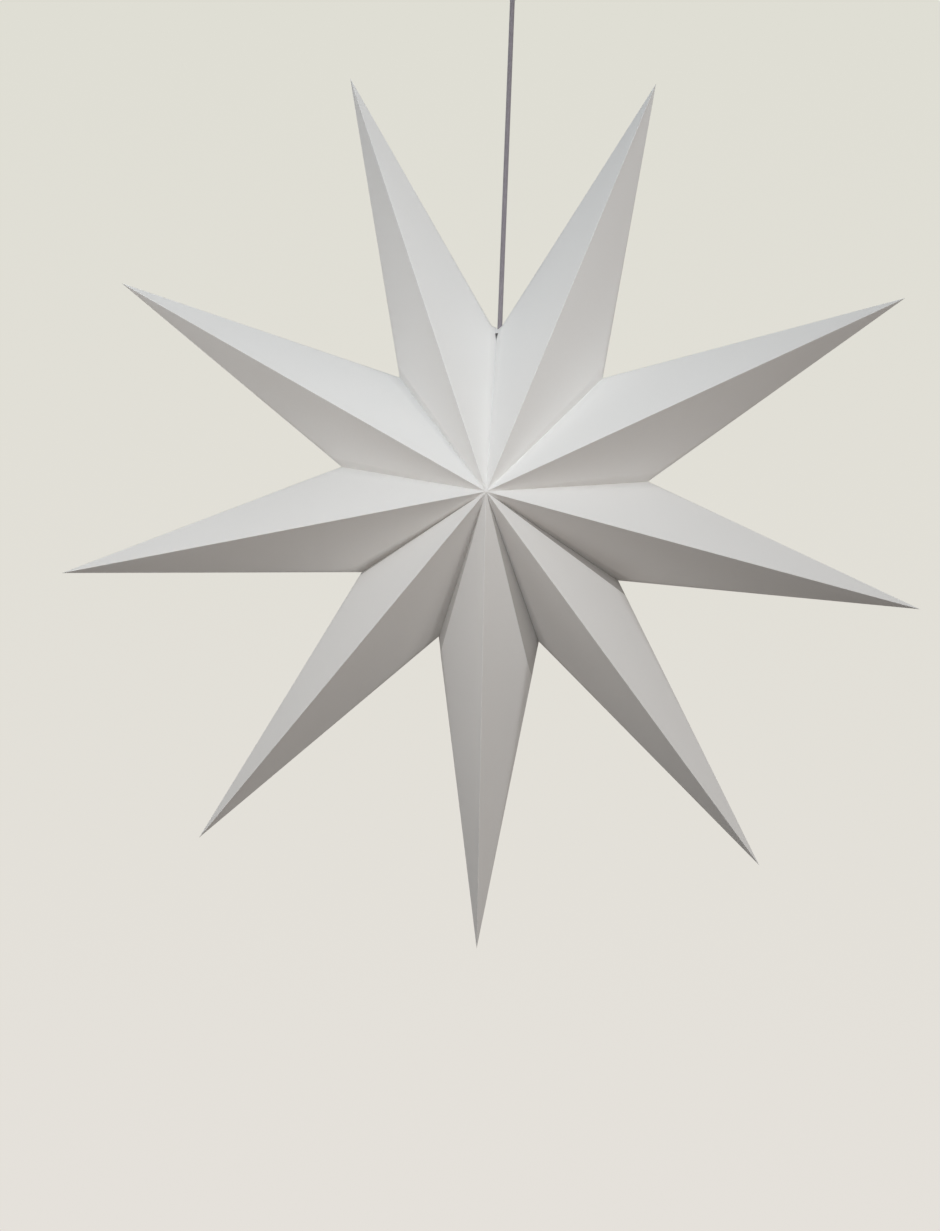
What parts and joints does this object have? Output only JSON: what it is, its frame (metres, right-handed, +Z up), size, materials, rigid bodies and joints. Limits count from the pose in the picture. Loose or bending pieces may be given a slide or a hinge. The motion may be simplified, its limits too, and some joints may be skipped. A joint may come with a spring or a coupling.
{
  "type": "paper advent star",
  "caption": "Folded paper star of long hollow points round a lampholder and bulb, hung on a straight textile cord from a ceiling cup.",
  "frame": {"origin": "middle of the crossbar's face against the ceiling", "axes": "+Z up, out of the ceiling face; the star hangs below and its front apex faces -Y; +X is to the right of somebody who looks at the front"},
  "size_m": [0.9793, 0.25, 1.169],
  "materials": {
    "paper": "uncoated white paper, matt",
    "clip_steel": "satin",
    "holder_plastic": "smooth moulded",
    "grip_rubber": "matt moulded",
    "steatite": "unglazed",
    "contact_brass": "satin",
    "sleeve_metal": "satin",
    "opal_glass": "opal, satin",
    "textile_cord": "braided textile",
    "cup_plastic": "fine satin",
    "bracket_steel": "galvanised",
    "screw_steel": "zinc plated",
    "terminal_plastic": "moulded"
  },
  "bodies": {
    "root": {"ray_1": "paper", "ray_2": "paper", "ray_3": "paper", "ray_4": "paper", "ray_5": "paper", "ray_6": "paper", "ray_7": "paper", "ray_8": "paper", "ray_9": "paper", "seam_clips": "clip_steel", "holder_cap": "holder_plastic", "holder_body": "holder_plastic", "holder_grip": "grip_rubber", "contact_block": "steatite", "centre_contact": "contact_brass", "screw_sleeve": "sleeve_metal", "bulb": "opal_glass", "cord": "textile_cord", "ceiling_cup": "cup_plastic", "cup_grip": "cup_plastic", "crossbar": "bracket_steel", "side_screws": "screw_steel", "grip_nut": "screw_steel", "terminal_block": "terminal_plastic"}
  },
  "joints": []
}
